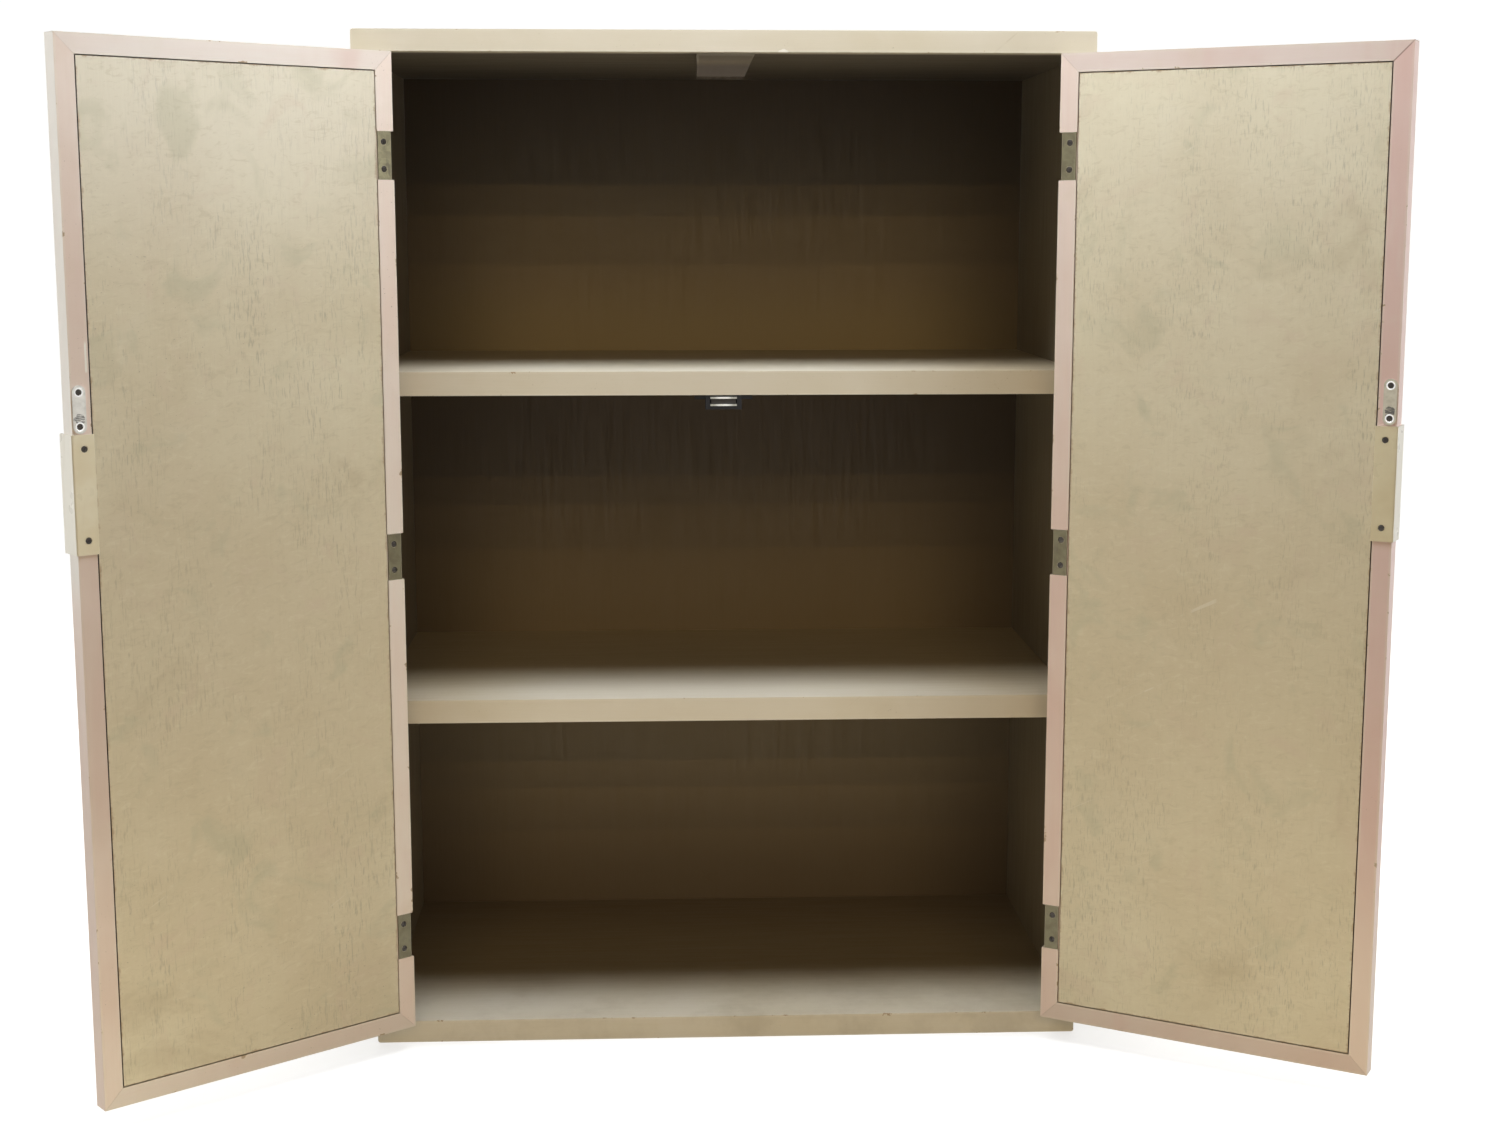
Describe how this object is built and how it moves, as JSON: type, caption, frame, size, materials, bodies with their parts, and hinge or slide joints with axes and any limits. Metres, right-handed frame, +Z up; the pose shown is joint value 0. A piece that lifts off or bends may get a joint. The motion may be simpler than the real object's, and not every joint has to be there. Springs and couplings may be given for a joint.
{
  "type": "two-door storage cabinet",
  "caption": "Free-standing painted wooden cabinet with two inset doors on butt hinges, two fixed shelves, edge pulls and a magnetic catch.",
  "frame": {"origin": "middle of the underside of the base, halfway between the front edge and the back of the cabinet", "axes": "+X to the viewer's right when facing the doors, +Y towards the back, +Z up"},
  "size_m": [1.2877, 0.6637, 1.075],
  "materials": {
    "cream_paint": "old cream oil paint, satin, worn at the arrises",
    "frame_paint": "cream-pink oil paint over solid lippings, satin",
    "panel_paint": "thin khaki-cream paint with the veneer grain showing",
    "block_paint": "thin paint over sawn softwood",
    "hinge_steel": "dulled plated steel, olive-grey",
    "bright_zinc": "bright zinc plate, scuffed",
    "screw_steel": "plated steel screws",
    "pull_enamel": "cream stove enamel, semi-gloss",
    "catch_plastic": "black moulded plastic",
    "magnet": "dark sintered ferrite"
  },
  "bodies": {
    "carcass": {"top_panel": "cream_paint", "bottom_panel": "cream_paint", "left_side_panel": "cream_paint", "right_side_panel": "cream_paint", "upper_shelf": "cream_paint", "lower_shelf": "cream_paint", "left_front_stile": "frame_paint", "right_front_stile": "frame_paint", "back_panel": "panel_paint", "door_stop_block": "block_paint", "catch_housing": "catch_plastic", "catch_magnet": "magnet", "catch_upper_pole": "bright_zinc", "catch_lower_pole": "bright_zinc", "catch_left_screw": "screw_steel", "catch_right_screw": "screw_steel", "left_top_frame_leaf": "hinge_steel", "left_top_hinge_pin": "hinge_steel", "left_middle_frame_leaf": "hinge_steel", "left_middle_hinge_pin": "hinge_steel", "left_bottom_frame_leaf": "hinge_steel", "left_bottom_hinge_pin": "hinge_steel", "right_top_frame_leaf": "hinge_steel", "right_top_hinge_pin": "hinge_steel", "right_middle_frame_leaf": "hinge_steel", "right_middle_hinge_pin": "hinge_steel", "right_bottom_frame_leaf": "hinge_steel", "right_bottom_hinge_pin": "hinge_steel"},
    "left_door": {"left_door_panel": "panel_paint", "left_door_hinge_stile": "frame_paint", "left_door_lock_stile": "frame_paint", "left_door_top_rail": "frame_paint", "left_door_bottom_rail": "frame_paint", "left_top_door_leaf": "hinge_steel", "left_middle_door_leaf": "hinge_steel", "left_bottom_door_leaf": "hinge_steel", "left_door_pull": "pull_enamel", "left_strike_plate": "bright_zinc", "left_pull_upper_screw": "screw_steel", "left_pull_lower_screw": "screw_steel", "left_strike_upper_screw": "screw_steel", "left_strike_lower_screw": "screw_steel"},
    "right_door": {"right_door_panel": "panel_paint", "right_door_hinge_stile": "frame_paint", "right_door_lock_stile": "frame_paint", "right_door_top_rail": "frame_paint", "right_door_bottom_rail": "frame_paint", "right_top_door_leaf": "hinge_steel", "right_middle_door_leaf": "hinge_steel", "right_bottom_door_leaf": "hinge_steel", "right_door_pull": "pull_enamel", "right_strike_plate": "bright_zinc", "right_pull_upper_screw": "screw_steel", "right_pull_lower_screw": "screw_steel", "right_strike_upper_screw": "screw_steel", "right_strike_lower_screw": "screw_steel"}
  },
  "joints": [
    {"name": "left_door_hinge", "type": "hinge", "parent": "carcass", "child": "left_door", "pos_m": [-0.3526, -0.2163, 0.5385], "axis": [0, 0, -1], "range_deg": [-142, 38]},
    {"name": "right_door_hinge", "type": "hinge", "parent": "carcass", "child": "right_door", "pos_m": [0.3526, -0.2163, 0.5385], "axis": [0, 0, 1], "range_deg": [-149, 31]}
  ]
}
